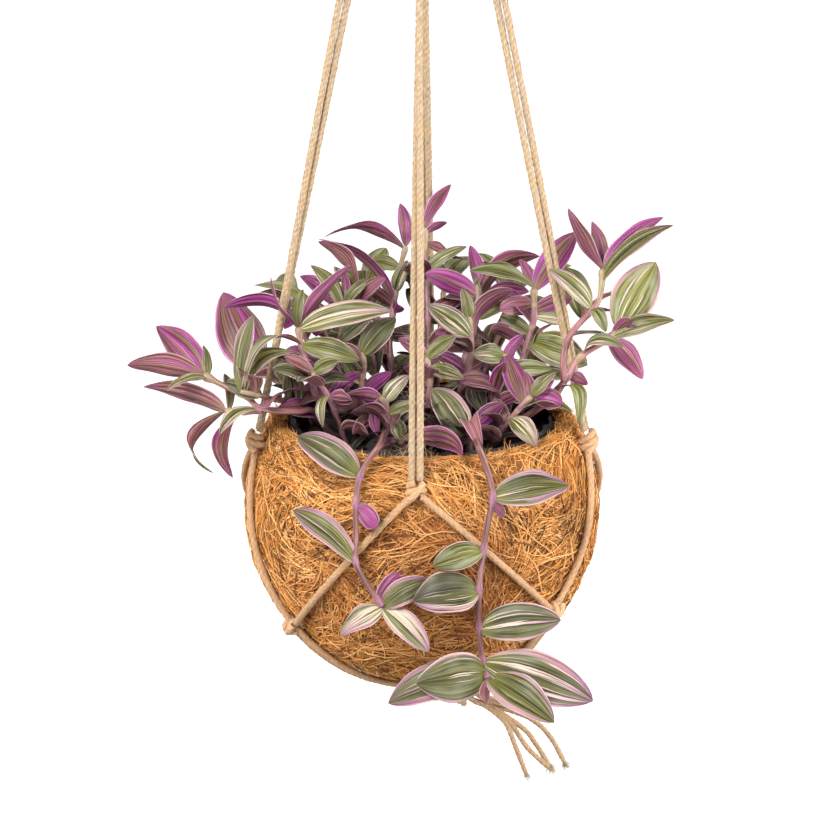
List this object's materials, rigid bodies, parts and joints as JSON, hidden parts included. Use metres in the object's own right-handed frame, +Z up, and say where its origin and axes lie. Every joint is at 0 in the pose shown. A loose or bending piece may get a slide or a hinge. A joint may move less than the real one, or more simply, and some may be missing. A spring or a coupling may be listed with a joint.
{
  "type": "hanging potted tradescantia",
  "caption": "Trailing tradescantia with striped lance-shaped leaves in a coconut-fibre ball pot, held in a knotted jute net whose strands rise to one hang loop",
  "frame": {"origin": "where the hook bears, inside the top of the hang loop", "axes": "+Z up; -Y is the front, the side whose two stems trail over the rim"},
  "size_m": [0.2755, 0.2418, 0.6308],
  "materials": {
    "coir": "pressed coconut fibre, matt and coarse",
    "liner_film": "thin black film",
    "soil": "damp dark potting soil, crumbly",
    "jute": "plied natural jute cord, slightly hairy",
    "leaves": "fleshy leaf, grey-green, cream and pink above, magenta below, soft sheen"
  },
  "bodies": {
    "root": {"coir_shell": "coir", "liner": "liner_film", "soil": "soil", "hang_loop": "jute", "upper_strand_front_1": "jute", "upper_strand_front_2": "jute", "upper_strand_right_1": "jute", "upper_strand_right_2": "jute", "upper_strand_back_1": "jute", "upper_strand_back_2": "jute", "upper_strand_left_1": "jute", "upper_strand_left_2": "jute", "hanger_net": "jute", "tail_1": "jute", "tail_2": "jute", "tail_3": "jute", "tail_4": "jute", "tail_5": "jute", "tail_6": "jute", "tail_7": "jute", "tail_8": "jute", "trail_left": "leaves", "trail_right": "leaves", "branch_left": "leaves", "stem_left_low": "leaves", "stem_left_front": "leaves", "stem_left_high": "leaves", "stem_left_rim": "leaves", "stem_left_back": "leaves", "stem_top_left": "leaves", "stem_left_inner": "leaves", "stem_left_brown": "leaves", "stem_front_left": "leaves", "stem_front_rim": "leaves", "stem_top_back": "leaves", "stem_top_mid": "leaves", "stem_mid": "leaves", "stem_right_high": "leaves", "stem_right_mid": "leaves", "stem_front_mid": "leaves", "stem_front_right": "leaves", "stem_right_front": "leaves", "branch_right": "leaves", "stem_back_1": "leaves", "stem_back_2": "leaves", "stem_back_3": "leaves", "stem_back_4": "leaves", "stem_back_5": "leaves", "stem_back_6": "leaves", "stem_back_7": "leaves", "stem_back_8": "leaves"}
  },
  "joints": []
}
